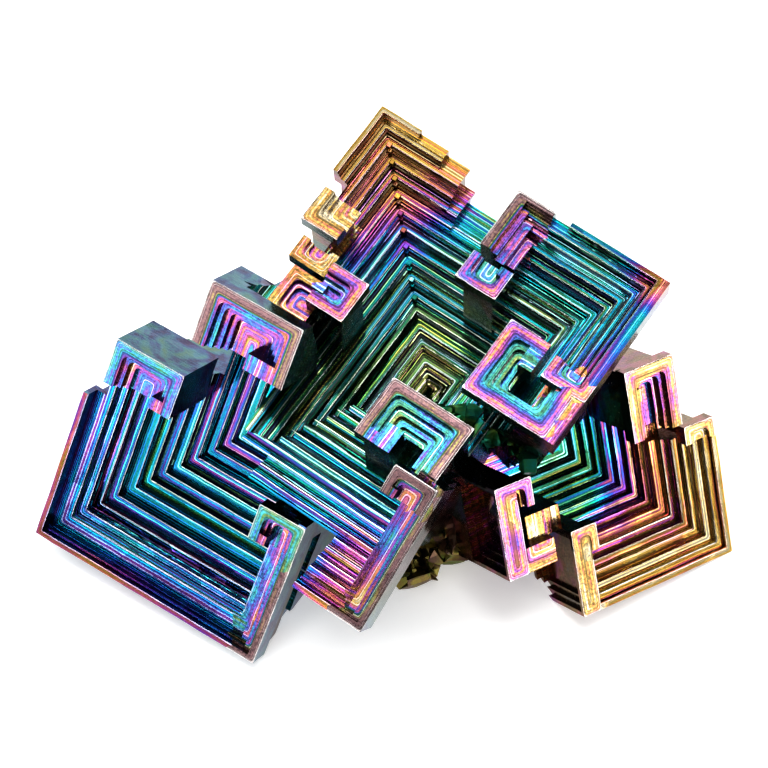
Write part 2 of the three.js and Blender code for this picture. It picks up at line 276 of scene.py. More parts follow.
STAINS = {
    # The main grain: gold at the tip of its wing, then red, purple, blue, teal and green down the hollow.
    Grain.MAIN: (
        Stain((-14.0, 14.0, 15.0), 6.4, 0.06),
        Stain((-8.0, 14.0, 14.5), 4.6, 0.08),
        Stain((-13.5, 8.0, 14.0), 3.2, 0.09),
        Stain((-11.2, 11.2, 12.1), 3.0, 0.09),
        Stain((-10.2, 10.0, 10.5), 2.2, 0.13),
        Stain((-11.0, 6.6, 11.4), 2.4, 0.15),
        Stain((-7.2, 10.4, 11.0), 2.4, 0.20),
        Stain((-5.5, 13.0, 12.5), 2.4, 0.13),
        Stain((-8.8, 8.3, 9.2), 2.0, 0.27),
        Stain((-10.2, 4.4, 10.4), 2.2, 0.27),
        Stain((-5.4, 9.2, 9.8), 2.2, 0.44),
        Stain((-7.6, 6.8, 7.9), 2.2, 0.38),
        Stain((-9.0, 2.5, 9.2), 2.4, 0.45),
        Stain((-3.4, 8.6, 9.2), 2.6, 0.62),
        Stain((-6.2, 5.2, 6.5), 2.4, 0.63),
        Stain((-7.0, -0.5, 8.0), 3.4, 0.68),
        Stain((-2.0, 6.4, 6.8), 3.0, 0.68),
        Stain((-4.2, 3.0, 4.6), 2.6, 0.72),
        Stain((-5.0, -3.0, 5.2), 3.6, 0.74),
        Stain((-6.6, -8.0, 7.0), 3.6, 0.75),
        Stain((-1.2, 3.2, 3.6), 3.0, 0.75),
        Stain((-2.4, 1.0, 2.5), 2.2, 0.80),
        Stain((-0.6, 0.4, 0.6), 2.6, 0.87),
        Stain((1.0, 12.0, 14.5), 3.0, 0.30),
        Stain((2.0, 9.0, 13.0), 2.6, 0.42),
        Stain((4.5, 11.4, 12.4), 3.0, 0.58),
        Stain((8.0, 12.8, 14.5), 3.0, 0.64),
        Stain((9.6, 10.8, 11.4), 3.0, 0.52),
        Stain((13.6, 13.4, 14.8), 2.4, 0.22),
        Stain((12.6, 8.6, 13.6), 3.2, 0.58),
        Stain((13.0, 4.6, 14.0), 3.0, 0.36),
        Stain((7.4, 8.6, 8.8), 3.6, 0.66),
        Stain((10.2, 6.4, 11.0), 3.0, 0.50),
        Stain((4.0, 4.6, 6.0), 3.4, 0.70),
    ),
    # The front grain: green at its head, then teal, blue, purple and pink down to its rim.
    Grain.FRONT: (
        Stain((-4.7, -5.5, 6.2), 4.0, 0.68),
        Stain((2.0, -7.0, 8.0), 3.6, 0.66),
        Stain((-2.3, -8.6, 9.4), 3.0, 0.57),
        Stain((2.0, -9.8, 10.8), 2.6, 0.45),
        Stain((4.4, -10.8, 12.2), 2.2, 0.32),
        Stain((5.0, -12.8, 14.6), 2.4, 0.27),
        Stain((5.6, -15.6, 17.8), 2.8, 0.22),
        Stain((8.6, -9.6, 18.4), 4.4, 0.97),
    ),
    # The left grain: cyan and blue with purple bands, bronze on its rims.
    Grain.LEFT: (
        Stain((-9.0, -9.0, 6.0), 5.0, 0.54),
        Stain((-13.0, -6.2, 7.4), 3.6, 0.50),
        Stain((-13.0, -13.0, 9.6), 4.0, 0.50),
        Stain((-17.5, -9.0, 11.8), 4.0, 0.46),
        Stain((-16.0, -16.6, 12.4), 4.0, 0.47),
        Stain((-21.2, -12.0, 15.4), 4.4, 0.42),
        Stain((-20.6, -19.6, 15.6), 4.0, 0.45),
        Stain((-9.6, -17.0, 12.4), 4.4, 0.46),
        Stain((-9.6, -20.4, 15.4), 4.4, 0.42),
        Stain((-5.2, -17.6, 13.0), 3.4, 0.46),
        Stain((-2.4, -17.0, 17.0), 4.4, 0.48),
        Stain((-14.0, -22.6, 17.0), 2.4, 0.36),
    ),
    # The right grain: green in the depth, then purple and orange, and gold along its rim.
    Grain.RIGHT: (
        Stain((-1.6, -0.4, 0.6), 3.4, 0.72),
        Stain((-6.0, -2.0, 2.0), 4.0, 0.74),
        Stain((-1.0, -3.0, 2.0), 2.2, 0.74),
        Stain((0.5, -0.8, 1.0), 2.2, 0.72),
        Stain((-3.0, 2.0, 1.0), 4.0, 0.74),
        Stain((1.2, 1.6, 1.6), 2.4, 0.68),
        Stain((2.2, -2.4, 2.4), 1.8, 0.42),
        Stain((-3.6, -3.6, 2.6), 3.0, 0.74),
        Stain((3.0, 2.6, 3.0), 2.0, 0.36),
        Stain((3.4, -3.6, 3.4), 2.2, 0.27),
        Stain((-0.4, -5.0, 3.8), 2.4, 0.34),
        Stain((5.0, 0.6, 4.6), 2.6, 0.17),
        Stain((4.0, -6.0, 4.8), 2.2, 0.16),
        Stain((-1.4, -6.8, 5.2), 2.4, 0.20),
        Stain((7.2, -3.4, 6.2), 2.6, 0.09),
        Stain((1.0, -8.8, 6.6), 3.0, 0.10),
        Stain((8.6, -9.4, 7.6), 3.4, 0.08),
        Stain((9.0, -2.0, 7.8), 3.0, 0.07),
        Stain((-5.8, -8.0, 8.0), 3.2, 0.07),
        Stain((-5.6, -5.0, 4.0), 3.0, 0.10),
        Stain((-12.0, -1.0, 8.0), 4.0, 0.23),
    ),
}

# The film on each grain away from its stains.
BASE_FILM = {
    Grain.ROOT: 0.88,
    Grain.MAIN: 0.64,
    Grain.FRONT: 0.55,
    Grain.LEFT: 0.50,
    Grain.RIGHT: 0.20,
}

# A face square to a grain's axis has this much of its normal along it, and one along the axis less than the other.
SQUARE_ON = 0.9995
ALONG = 0.004

# How much the film varies from one level to the next.
LEVEL_SHIFT = {Grain.ROOT: 0.0, Grain.MAIN: 0.05, Grain.FRONT: 0.08, Grain.LEFT: 0.22, Grain.RIGHT: 0.05}


def only(obj: bpy.types.Object) -> None:
    """Selects one object alone and makes it the active one.

    Args:
        obj: the object to select.
    """
    bpy.ops.object.select_all(action="DESELECT")
    obj.select_set(True)
    bpy.context.view_layer.objects.active = obj


def add_layers(mesh: bpy.types.Mesh) -> None:
    """Adds the attributes that the finish reads: the film and its lines per corner, the sort of face per face."""
    for name in ("film", "inner", "height"):
        mesh.attributes.new(name, "FLOAT", "CORNER")
    for name in ("across", "along"):
        mesh.attributes.new(name, "FLOAT_VECTOR", "CORNER")
    for name in ("riser", "wall", "rough", "lip", "hooked"):
        mesh.attributes.new(name, "FLOAT", "FACE")


@dataclass
class CrystalBody:
    """The crystal's surface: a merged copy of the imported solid, cut finely along its terraces.

    Attributes:
        name: the piece's name.
        merge_gap: corners closer than this are one, in metres.
        cut_every: the spacing of the cuts along the terraces, in millimetres.
        waviness: how far the terraces waver, in millimetres.
        waver_seed: the start of the noise that wavers them. Zero would start it from the clock.
        small_steps: how many small steps each riser is cut into.
        crust_every: the spacing of the cuts through the root's crust, in millimetres.
        crust_grain: the width of the crust's larger lumps, in millimetres.
        crust_depth: how far those lumps are pushed in, in millimetres.
    """

    name: str = "crystal_body"
    merge_gap: float = 2e-6
    cut_every: float = 1.4
    waviness: float = 0.035
    waver_seed: int = 7
    small_steps: int = 3
    crust_every: float = 0.8
    crust_grain: float = 1.9
    crust_depth: float = 0.75

    def copy_of(self, node: bpy.types.Object) -> bpy.types.Object:
        """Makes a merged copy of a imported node.

        Args:
            node: the node to copy.

        Returns:
            The copy, with its own mesh.
        """
        only(node)
        bpy.ops.object.duplicate()
        made = bpy.context.active_object
        made.name = self.name
        made.data.name = self.name
        for key in list(made.keys()):
            if key.startswith("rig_"):
                del made[key]
        made.parent = None
        bpy.ops.object.mode_set(mode="EDIT")
        bpy.ops.mesh.select_all(action="SELECT")
        bpy.ops.mesh.remove_doubles(threshold=self.merge_gap)
        bpy.ops.mesh.dissolve_limited(angle_limit=math.radians(0.6))
        bpy.ops.object.mode_set(mode="OBJECT")
        return made

    def grain_of(self, centre: Vector, normal: Vector) -> Grain:
        """Finds which grain a face belongs to, from its place and the way it faces.

        Args:
            centre: the face's middle, in millimetres.
            normal: the way it faces.

        Returns:
            The grain.
        """
        own = {grain: AXES[grain].transposed() @ normal for grain in FRAMES}
        beside = abs(own[Grain.MAIN].x)
        if beside > 0.999:
            at = AXES[Grain.FRONT].transposed() @ (centre - FRAMES[Grain.FRONT].origin())
            near = -16.8 < at.y < -3.0 and at.x > 2.0 or at.y < -3.0 and at.x < -6.0 and at.z < 14
            return Grain.FRONT if near and at.z < 18.6 else Grain.MAIN
        for grain in (Grain.MAIN, Grain.FRONT, Grain.LEFT, Grain.RIGHT):
            if max(abs(part) for part in own[grain]) > SQUARE_ON:
                return grain
        if beside < ALONG:
            return Grain.FRONT if own[Grain.MAIN].y > 0.1 else Grain.MAIN
        for grain in (Grain.LEFT, Grain.RIGHT, Grain.MAIN, Grain.FRONT):
            if min(abs(part) for part in own[grain]) < ALONG:
                return grain
        return Grain.ROOT

    def mark_grains(self, obj: bpy.types.Object) -> None:
        """Stores on each face its grain and what sort of face it is.

        Args:
            obj: the crystal's surface.
        """
        mesh = obj.data
        mesh.attributes.new("grain", "INT", "FACE")
        mesh.attributes.new("kind", "INT", "FACE")
        grains, kinds = mesh.attributes["grain"], mesh.attributes["kind"]
        for polygon in mesh.polygons:
            grain = self.grain_of(polygon.center / MM, polygon.normal)
            grains.data[polygon.index].value = grain.value
            if grain is Grain.ROOT:
                kinds.data[polygon.index].value = Face.ROUGH.value
                continue
            up = (AXES[grain].transposed() @ polygon.normal).z
            kind = Face.TREAD if up > 0.99 else Face.RISER if up > 0.2 else Face.WALL
            kinds.data[polygon.index].value = kind.value

    def step_risers(self, obj: bpy.types.Object) -> None:
        """Turns each sloped riser into small steps, cut and pushed back in turn.

        Args:
            obj: the crystal's surface.
        """
        only(obj)
        mesh = obj.data
        kinds, grains = mesh.attributes["kind"], mesh.attributes["grain"]
        for grain in Grain:
            mesh.materials.append(bpy.data.materials.new(f"riser_{grain.name.lower()}"))
        for polygon in mesh.polygons:
            is_riser = kinds.data[polygon.index].value == Face.RISER.value
            polygon.material_index = grains.data[polygon.index].value if is_riser else 0
        push: dict[tuple[Grain, int], float] = {}
        bpy.ops.object.mode_set(mode="EDIT")
        bpy.ops.mesh.select_mode(type="FACE")
        for hollow in HOLLOWS:
            grain = hollow.grain
            up = AXES[grain].col[2]
            obj.active_material_index = grain.value
            for level in hollow.levels():
                head, foot = level.head, level.foot
                for turn in range(1, 2 * self.small_steps):
                    height = head + (foot - head) * turn / (2 * self.small_steps)
                    bpy.ops.mesh.select_all(action="DESELECT")
                    bpy.ops.object.material_slot_select()
                    spot = (FRAMES[grain].origin() + up * height) * MM
                    bpy.ops.mesh.bisect(plane_co=spot, plane_no=up)
                    if turn % 2:
                        push[(grain, round(height * 1000))] = (head - foot) / (2 * self.small_steps)
        bpy.ops.object.mode_set(mode="OBJECT")
        self.push_back(obj, push)

    def push_back(self, obj: bpy.types.Object, push: dict[tuple[Grain, int], float]) -> None:
        """Moves every second line of cut corners down and into the crystal.

        Args:
            obj: the crystal's surface.
            push: how far each line goes down, by its grain and its height in thousandths of a millimetre.
        """
        mesh = obj.data
        around: dict[int, list[tuple[Grain, Vector]]] = {}
        grains, kinds = mesh.attributes["grain"], mesh.attributes["kind"]
        for polygon in mesh.polygons:
            if kinds.data[polygon.index].value != Face.RISER.value:
                continue
            grain = Grain(grains.data[polygon.index].value)
            own = AXES[grain].transposed() @ polygon.normal
            for vertex in polygon.vertices:
                around.setdefault(vertex, []).append((grain, own))
        for index, faces in around.items():
            grain = faces[0][0]
            vertex = mesh.vertices[index]
            own = AXES[grain].transposed() @ (vertex.co / MM - FRAMES[grain].origin())
            drop = push.get((grain, round(own.z * 1000))) or push.get((grain, round(own.z * 1000) + 1))
            drop = drop or push.get((grain, round(own.z * 1000) - 1))
            if not drop:
                continue
            back = drop * SLOPES[grain] / USUAL_RISE
            sides = {(round(face.x * 2), round(face.y * 2)): face for _, face in faces}
            move = Vector((0.0, 0.0, -drop))
            for face in sides.values():
                flat = Vector((face.x, face.y, 0.0)).normalized()
                move -= flat * back
            vertex.co += (AXES[grain] @ move) * MM

    def crumble(self, obj: bpy.types.Object) -> None:
        """Cuts the root finely and pushes its corners in by turns, as a crust of small crystals.

        Args:
            obj: the crystal's surface.
        """
        only(obj)
        mesh = obj.data
        low, high = CAD_BOX
        mesh.materials.append(bpy.data.materials.new("root_crust"))
        slot = len(mesh.materials) - 1
        kinds = mesh.attributes["kind"]
        for polygon in mesh.polygons:
            polygon.material_index = slot if kinds.data[polygon.index].value == Face.ROUGH.value else 0
        obj.active_material_index = slot
        bpy.ops.object.mode_set(mode="EDIT")
        for axis in range(3):
            normal = [0.0, 0.0, 0.0]
            normal[axis] = 1.0
            count = int((high[axis] - low[axis]) / MM / self.crust_every)
            for turn in range(count):
                spot = [0.0, 0.0, 0.0]
                spot[axis] = low[axis] + (turn + 0.5) * self.crust_every * MM
                bpy.ops.mesh.select_all(action="DESELECT")
                bpy.ops.object.material_slot_select()
                bpy.ops.mesh.bisect(plane_co=spot, plane_no=normal)
        bpy.ops.object.mode_set(mode="OBJECT")
        # The cuts made new faces, so their kinds are read again.
        kinds = mesh.attributes["kind"]
        shared = set()
        for polygon in mesh.polygons:
            if kinds.data[polygon.index].value != Face.ROUGH.value:
                shared.update(polygon.vertices)
        rough = {
            vertex
            for polygon in mesh.polygons
            if kinds.data[polygon.index].value == Face.ROUGH.value
            for vertex in polygon.vertices
        }
        for index in rough - shared:
            vertex = mesh.vertices[index]
            spot = vertex.co / MM
            if spot.z < 0.3:
                continue
            step = noise.cell(spot / self.crust_grain) * self.crust_depth
            step += 0.4 * noise.cell(spot / (0.5 * self.crust_grain) + Vector((7.0, 0.0, 0.0))) * self.crust_depth
            moved = vertex.co - vertex.normal * step * MM
            moved.z = max(moved.z, 0.1 * MM)
            vertex.co = moved

    def cut(self, obj: bpy.types.Object) -> None:
        """Cuts the surface along and across, so that its colour and its lines can vary.

        Args:
            obj: the crystal's surface.
        """
        only(obj)
        low, high = CAD_BOX
        bpy.ops.object.mode_set(mode="EDIT")
        for axis, every in enumerate((self.cut_every, self.cut_every, 2 * self.cut_every)):
            normal = [0.0, 0.0, 0.0]
            normal[axis] = 1.0
            place = low[axis] / MM + self.cut_every / 2
            while place < high[axis] / MM:
                spot = [0.0, 0.0, 0.0]
                spot[axis] = place * MM
                bpy.ops.mesh.select_all(action="SELECT")
                bpy.ops.mesh.bisect(plane_co=spot, plane_no=normal)
                place += every
        bpy.ops.object.mode_set(mode="OBJECT")

    def waver(self, obj: bpy.types.Object) -> None:
        """Moves the corners a little, so that the terraces don't run dead straight, and keeps the foot flat.

        Args:
            obj: the crystal's surface.
        """
        low, high = (Vector(corner) for corner in CAD_BOX)
        noise.seed_set(self.waver_seed)
        for vertex in obj.data.vertices:
            spot = vertex.co / MM
            if spot.z < 0.05:
                continue
            shift = noise.noise_vector(spot * 0.45) * self.waviness
            shift += noise.noise_vector(spot * 1.9) * self.waviness * 0.5
            moved = vertex.co + shift * MM
            for axis in range(3):
                moved[axis] = min(max(moved[axis], low[axis]), high[axis])
            vertex.co = moved

    def film_at(self, grain: Grain, own: Vector) -> float:
        """Gives the thickness of the oxide film, from 0 to 1, at a place on a grain.

        Args:
            grain: the grain.
            own: the place in the grain's own axes, in millimetres.

        Returns:
            The film's thickness.
        """
        weight = 0.12
        total = BASE_FILM[grain] * weight
        for stain in STAINS[grain]:
            gap = (own - Vector(stain.at)).length / stain.reach
            if gap < 1.6:
                share = math.exp(-2.5 * gap * gap)
                total += stain.film * share
                weight += share
        patch = noise.noise(own * 0.25 + Vector((grain.value * 11.0, 0, 0)))
        return total / weight + 0.05 * patch

    def nearest_level(self, grain: Grain, height: float) -> tuple[Hollow, Level]:
        """Finds the hollow and the level of a grain whose riser is at a height."""
        found = [(hollow, level) for hollow in HOLLOWS if hollow.grain is grain for level in hollow.levels()]
        heads = [pair for pair in found if pair[1].head > height - 0.05]
        return min(heads, key=lambda pair: pair[1].head, default=found[0])

    def part_of(self, grain: Grain, kind: Face, centre: Vector) -> tuple[object, float, float]:
        """Says what a face is part of.

        Args:
            grain: its grain.
            kind: the sort of face it is.
            centre: its middle in the grain's own axes, in millimetres.

        Returns:
            The outline or hollow that its lines follow, or nothing on an outside wall, then where
            along the lines its lip is, and the shift of the film at its level.
        """
        for outline in OUTLINES:
            on_block = outline.grain is grain and outline.holds(centre) and centre.z > FRAMES[grain].face - 4.5
            if on_block and not (kind is Face.WALL and outline.borders(centre)):
                return outline, 0.0, 0.0
        if kind is Face.WALL:
            return None, -FAR, 0.0
        hollow, level = self.nearest_level(grain, centre.z)
        shift = noise.noise(Vector((level.head * 3.7, grain.value * 5.0, 0.3)))
        if kind is Face.RISER:
            shift += 0.2
        return hollow, level.inset + hollow.top - level.head, shift * LEVEL_SHIFT[grain]

    def films_at(self, part: object, grain: Grain, own: Vector, shift: float) -> tuple[float, float]:
        """Gives the film's thickness at a place, on the rim of what it is part of and inside it."""
        patch = noise.noise(own * 0.33 + Vector((3.0, 1.0, 8.0)))
        if isinstance(part, Outline):
            return part.rim + 0.15 * patch, part.inner + 0.22 * patch + 0.05 * math.sin(own.z * 5)
        if part is None:
            return (self.film_at(grain, own) + 0.08 * patch,) * 2
        if grain is Grain.LEFT and own.z > FRAMES[grain].face - 0.75:
            return (0.33 + 0.16 * patch,) * 2
        return (self.film_at(grain, own) + shift,) * 2

    def grow_film(self, obj: bpy.types.Object) -> None:
        """Stores the oxide film and the places that the growth lines follow as attributes.

        Args:
            obj: the crystal's surface.
        """
        mesh = obj.data
        add_layers(mesh)
        stored = {name: mesh.attributes[name].data for name in mesh.attributes.keys()}
        turned = {grain: AXES[grain].transposed() for grain in FRAMES}
        for polygon in mesh.polygons:
            index = polygon.index
            grain = Grain(stored["grain"][index].value)
            kind = Face(stored["kind"][index].value)
            if grain is Grain.ROOT:
                stored["rough"][index].value = 1.0
                stored["lip"][index].value = -FAR
                for corner in polygon.loop_indices:
                    spot = mesh.vertices[mesh.loops[corner].vertex_index].co / MM
                    thick = BASE_FILM[grain] if spot.z < 8 else 0.70
                    stored["film"][corner].value = thick + 0.15 * noise.noise(spot * 0.8)
                    stored["inner"][corner].value = stored["film"][corner].value
                    stored["height"][corner].value = spot.z
                    stored["across"][corner].vector = (FAR, FAR, 0.0)
                    stored["along"][corner].vector = (FAR, FAR, 0.0)
                continue
            middle = turned[grain] @ (polygon.center / MM - FRAMES[grain].origin())
            part, edge, shift = self.part_of(grain, kind, middle)
            stored["riser"][index].value = 1.0 if kind is Face.RISER else 0.0
            stored["wall"][index].value = 1.0 if kind is Face.WALL else 0.0
            stored["lip"][index].value = edge if kind is not Face.WALL else -FAR
            stored["hooked"][index].value = 1.0 if isinstance(part, Outline) else 0.0
            for corner in polygon.loop_indices:
                spot = mesh.vertices[mesh.loops[corner].vertex_index].co / MM
                own = turned[grain] @ (spot - FRAMES[grain].origin())
                gaps = part.gaps(own) if part else (FAR, FAR, FAR, FAR)
                rim, inner = self.films_at(part, grain, own, shift)
                stored["film"][corner].value = rim
                stored["inner"][corner].value = inner
                stored["height"][corner].value = FRAMES[grain].face - own.z
                stored["across"][corner].vector = (gaps[0], gaps[1], 0.0)
                stored["along"][corner].vector = (gaps[2], gaps[3], 0.0)

    def build(self) -> bpy.types.Object:
        """Builds the whole surface.

        Returns:
            The finished piece.
        """
        made = self.copy_of(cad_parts["bismuth_crystal"])
        self.mark_grains(made)
        self.step_risers(made)
        self.crumble(made)
        self.cut(made)
        self.grow_film(made)
        self.waver(made)
        log.info("%s: %d faces", made.name, len(made.data.polygons))
        return made


@dataclass
class CornerBeads:
    """The little square beads that grew where two walls of the main hollow meet.

    Attributes:
        name: the piece's name.
        size: the usual width of a bead, in millimetres.
        round_edge: the width of its rounded edges, in millimetres.
        first: the first level with a bead.
        last: the last level with a bead.
    """

    name: str = "corner_beads"
    size: float = 0.5
    round_edge: float = 0.08
    first: int = 2
    last: int = 12

    def bead(self, spot: Vector, size: float) -> bpy.types.Object:
        """Builds one bead in the main grain's axes.

        Args:
            spot: its middle, in millimetres.
            size: its width, in millimetres.

        Returns:
            The bead.
        """
        bpy.ops.object.select_all(action="DESELECT")
        bpy.ops.mesh.primitive_cube_add(size=size * MM, calc_uvs=False)
        made = bpy.context.active_object
        bpy.ops.object.mode_set(mode="EDIT")
        bpy.ops.mesh.select_all(action="SELECT")
        bpy.ops.mesh.bevel(offset=self.round_edge * MM, segments=2, affect="EDGES")
        bpy.ops.mesh.select_all(action="SELECT")
        middle = (FRAMES[Grain.MAIN].origin() + AXES[Grain.MAIN] @ spot) * MM
        turn = AXES[Grain.MAIN].to_4x4() @ Matrix.Rotation(math.radians(3), 4, "Z")
        bpy.ops.object.mode_set(mode="OBJECT")
        made.data.transform(Matrix.Translation(middle) @ turn)
        return made

    def build(self) -> bpy.types.Object:
        """Builds the beads and joins them.

        Returns:
            The finished piece.
        """
        hollow = HOLLOWS[0]
        (left, left_tread), _, _, (top, top_tread) = hollow.sides
        beads = []
        for number, level in enumerate(hollow.levels()[self.first : self.last]):
            size = self.size * (1 + 0.25 * noise.noise(Vector((level.head * 5, 0.0, 0.0))))
            corner = Vector((left + left_tread * level.inset, top - top_tread * level.inset, level.head))
            beads.append(self.bead(corner + Vector((0.1, -0.1, -0.12)), size))
            if number % 4 != 1:
                beads.append(self.bead(corner + Vector((0.34, -0.34, -0.5)), size * 0.8))
        bpy.ops.object.select_all(action="DESELECT")
        for bead in beads:
            bead.select_set(True)
        bpy.context.view_layer.objects.active = beads[0]
        bpy.ops.object.join()
        made = bpy.context.active_object
        made.name = self.name
        made.data.name = self.name
        self.grow_film(made)
        log.info("%s: %d beads", made.name, len(beads))
        return made

    def grow_film(self, obj: bpy.types.Object) -> None:
        """Stores the same attributes on the beads as the crystal's surface has."""
        mesh = obj.data
        add_layers(mesh)
        body = CrystalBody()
        turned = AXES[Grain.MAIN].transposed()
        stored = {name: mesh.attributes[name].data for name in ("film", "inner", "height", "across", "along", "lip")}
        for polygon in mesh.polygons:
            stored["lip"][polygon.index].value = -FAR
            for corner in polygon.loop_indices:
                spot = mesh.vertices[mesh.loops[corner].vertex_index].co / MM
                own = turned @ (spot - FRAMES[Grain.MAIN].origin())
                film = body.film_at(Grain.MAIN, own)
                stored["film"][corner].value = film
                stored["inner"][corner].value = film
                stored["height"][corner].value = FRAMES[Grain.MAIN].face - own.z
                stored["across"][corner].vector = (FAR, FAR, 0.0)
                stored["along"][corner].vector = (FAR, FAR, 0.0)


@dataclass
class NodeSheet:
    """Adds nodes to a material and joins them up."""

    tree: bpy.types.NodeTree

    def add(self, kind: str, inputs: dict | None = None, **settings: object) -> bpy.types.Node:
        """Adds a node.

        Args:
            kind: the node's type.
            inputs: its inputs by name or number, each a socket or a value.
            settings: its own settings.

        Returns:
            The node.
        """
        node = self.tree.nodes.new(kind)
        for key, value in settings.items():
            setattr(node, key, value)
        for key, value in (inputs or {}).items():
            if isinstance(value, bpy.types.NodeSocket):
                self.tree.links.new(value, node.inputs[key])
            else:
                node.inputs[key].default_value = value
        return node

    def math(self, operation: str, first: object, second: object = 0.0, clamp: bool = False) -> bpy.types.NodeSocket:
        """Adds a math node and returns its result."""
        node = self.add("ShaderNodeMath", {0: first, 1: second}, operation=operation, use_clamp=clamp)
        return node.outputs[0]

    def attribute(self, name: str) -> bpy.types.NodeSocket:
        """Reads a number stored on the mesh."""
        return self.add("ShaderNodeAttribute", attribute_name=name).outputs["Fac"]

    def ramp(self, value: bpy.types.NodeSocket, stops: tuple) -> bpy.types.NodeSocket:
        """Adds a colour ramp.

        Args:
            value: what the ramp reads.
            stops: pairs of a place and a colour.

        Returns:
            The colour.
        """
        node = self.add("ShaderNodeValToRGB", {"Fac": value})
        elements = node.color_ramp.elements
        while len(elements) < len(stops):
            elements.new(1.0)
        for element, (place, colour) in zip(elements, stops):
            element.position = place
            element.color = (*colour, 1.0)
        return node.outputs["Color"]

    def mix(self, share: object, first: object, second: object) -> bpy.types.NodeSocket:
        """Mixes two colours.

        Args:
            share: how much of the second is used.
            first: a colour or a socket.
            second: a colour or a socket.

        Returns:
            The mixed colour.
        """
        node = self.add("ShaderNodeMix", {0: share, 6: first, 7: second}, data_type="RGBA", blend_type="MIX")
        return node.outputs[2]


